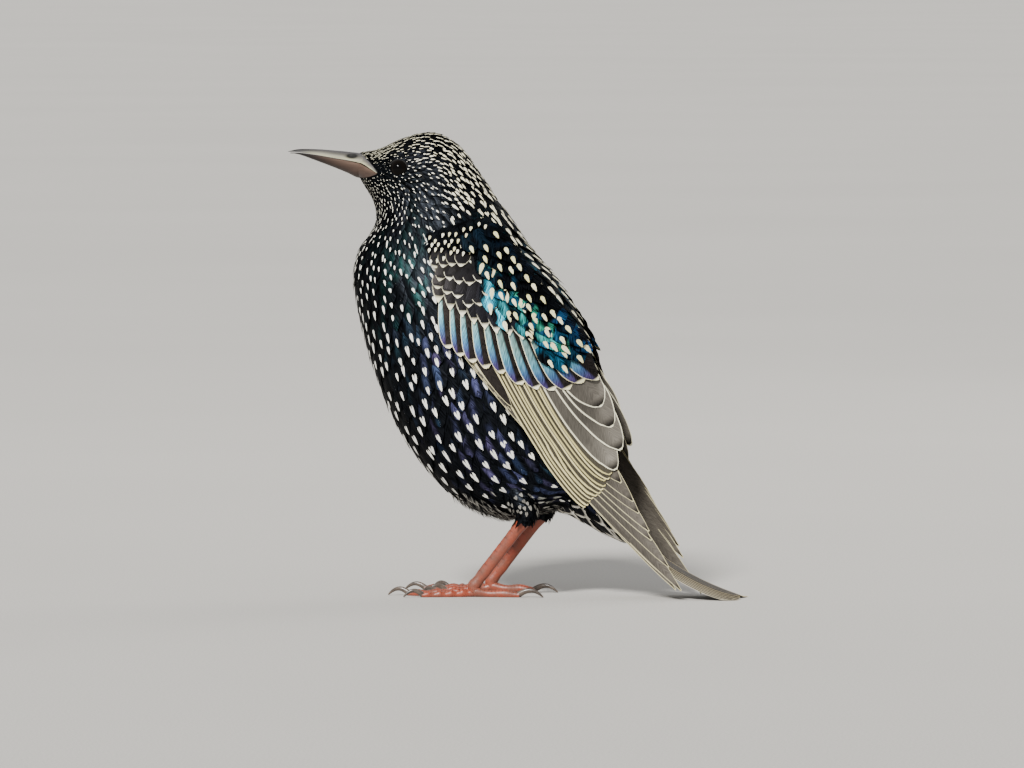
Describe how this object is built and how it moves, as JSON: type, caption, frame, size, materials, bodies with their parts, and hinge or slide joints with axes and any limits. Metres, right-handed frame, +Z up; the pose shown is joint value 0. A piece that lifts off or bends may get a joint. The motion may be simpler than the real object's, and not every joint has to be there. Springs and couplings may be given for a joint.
{
  "type": "perching bird, standing, wings folded",
  "caption": "Life-size common starling in spotted winter dress, standing upright with folded wings and its head turned a little left.",
  "frame": {"origin": "on the floor, under the middle of the bounding box", "axes": "-X is the way the bird faces, +Y its right side, +Z up"},
  "size_m": [0.1446, 0.0538, 0.1456],
  "materials": {
    "plumage": "black contour feathers with a green, blue and purple gloss and cream tips",
    "wing_feather": "grey-brown flight feathers with buff margins",
    "tail_feather": "dark tail feathers with pale edges",
    "bill_horn": "satin horn, slate ridge and pale cutting edge",
    "eye_dark": "wet dark brown",
    "leg_skin": "scaly orange-red skin",
    "claw_horn": "satin dark horn"
  },
  "bodies": {
    "root": {"bill_lower": "bill_horn", "bill_upper": "bill_horn", "claw_hind_left": "claw_horn", "claw_hind_right": "claw_horn", "claw_inner_left": "claw_horn", "claw_inner_right": "claw_horn", "claw_middle_left": "claw_horn", "claw_middle_right": "claw_horn", "claw_outer_left": "claw_horn", "claw_outer_right": "claw_horn", "eye_left": "eye_dark", "eye_right": "eye_dark", "foot_left": "leg_skin", "foot_right": "leg_skin", "head": "plumage", "neck": "plumage", "tail": "tail_feather", "tarsus_left": "leg_skin", "tarsus_right": "leg_skin", "thigh_left": "plumage", "thigh_right": "plumage", "torso": "plumage", "wing_left": "wing_feather", "wing_right": "wing_feather"}
  },
  "joints": []
}
